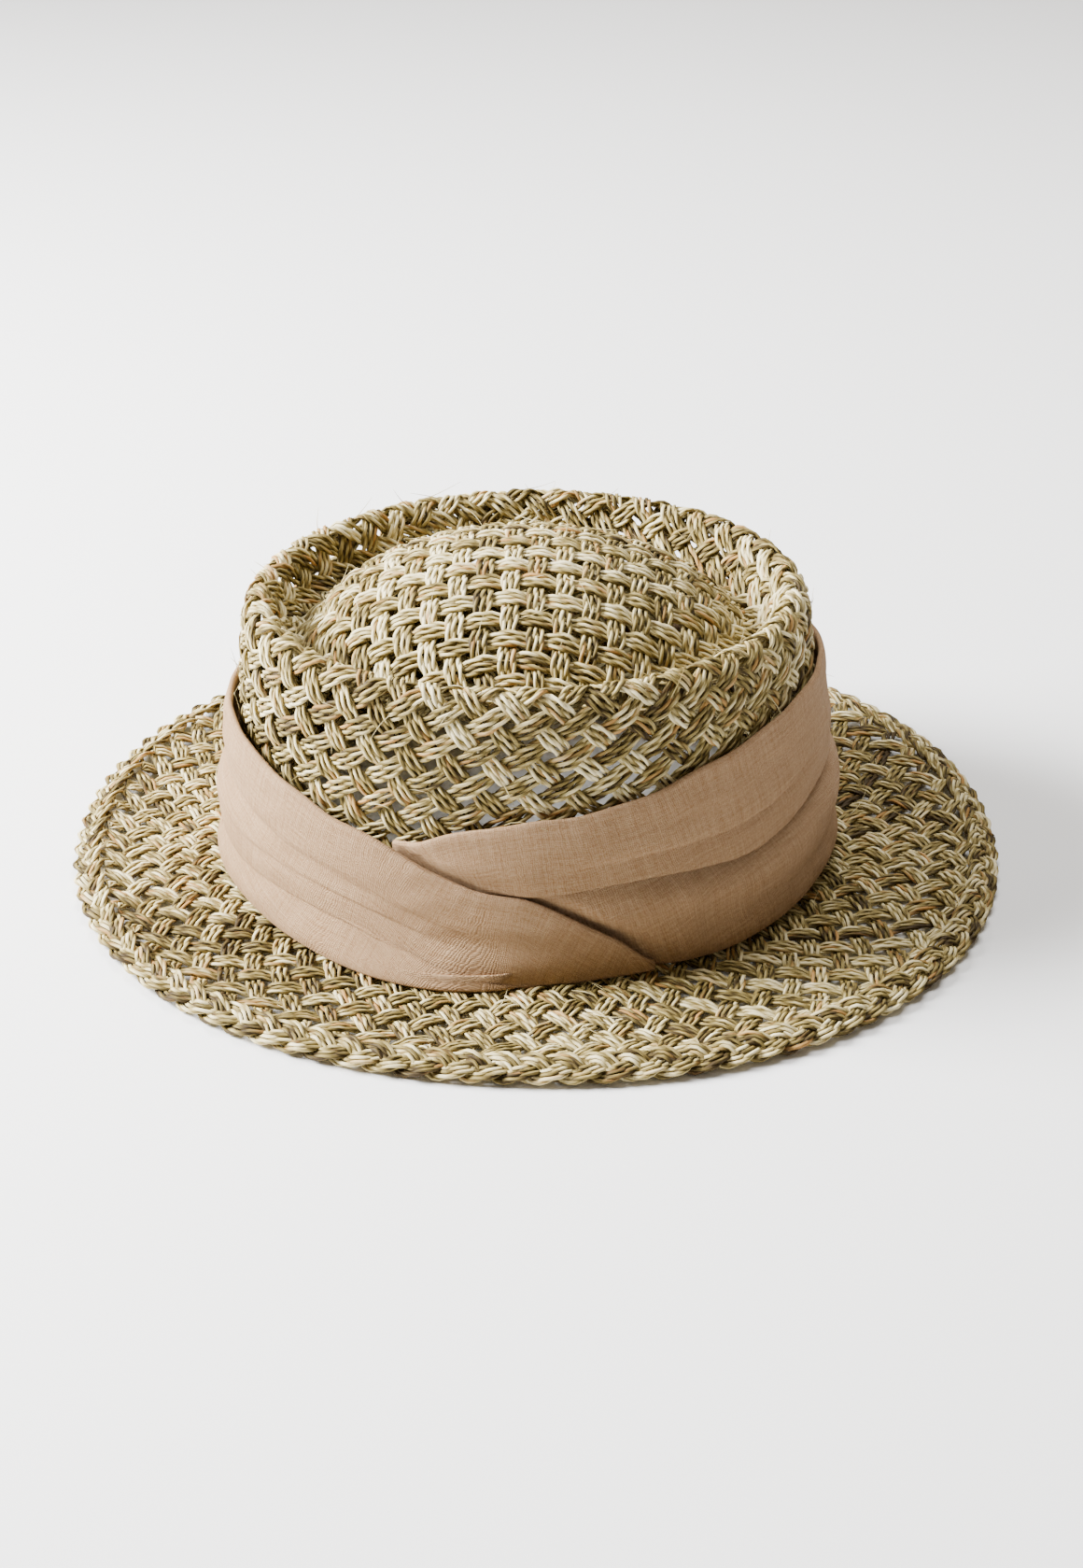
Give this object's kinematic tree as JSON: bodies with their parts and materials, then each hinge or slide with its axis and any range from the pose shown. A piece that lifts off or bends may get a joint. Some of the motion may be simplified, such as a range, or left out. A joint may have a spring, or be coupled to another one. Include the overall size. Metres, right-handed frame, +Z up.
{
  "type": "woven grass sun hat with linen scarf",
  "caption": "Open-weave grass sun hat with a telescope crown, a flat round brim with a plaited edge and a linen scarf wound round the crown.",
  "frame": {"origin": "middle of the brim's outline, on the surface that the hat rests on", "axes": "+X along the hat's longer way towards the higher side of the scarf, +Z up, -Y towards the side where the scarf crosses"},
  "size_m": [0.336, 0.305, 0.1185],
  "materials": {
    "grass_weave": "bundles of twisted dried seagrass in an open plain weave, pale green-beige with tan strands, matt with a faint waxy sheen",
    "grass_plait": "thick flat plait of twisted dried seagrass, matt",
    "linen": "plain woven linen, dusty pinkish beige, matt with soft slubs"
  },
  "bodies": {
    "root": {"crown_side": "grass_weave", "crown_groove": "grass_weave", "crown_dome": "grass_weave", "brim": "grass_weave", "brim_edge_plait": "grass_plait", "scarf_left_run": "linen", "scarf_right_run": "linen"}
  },
  "joints": []
}
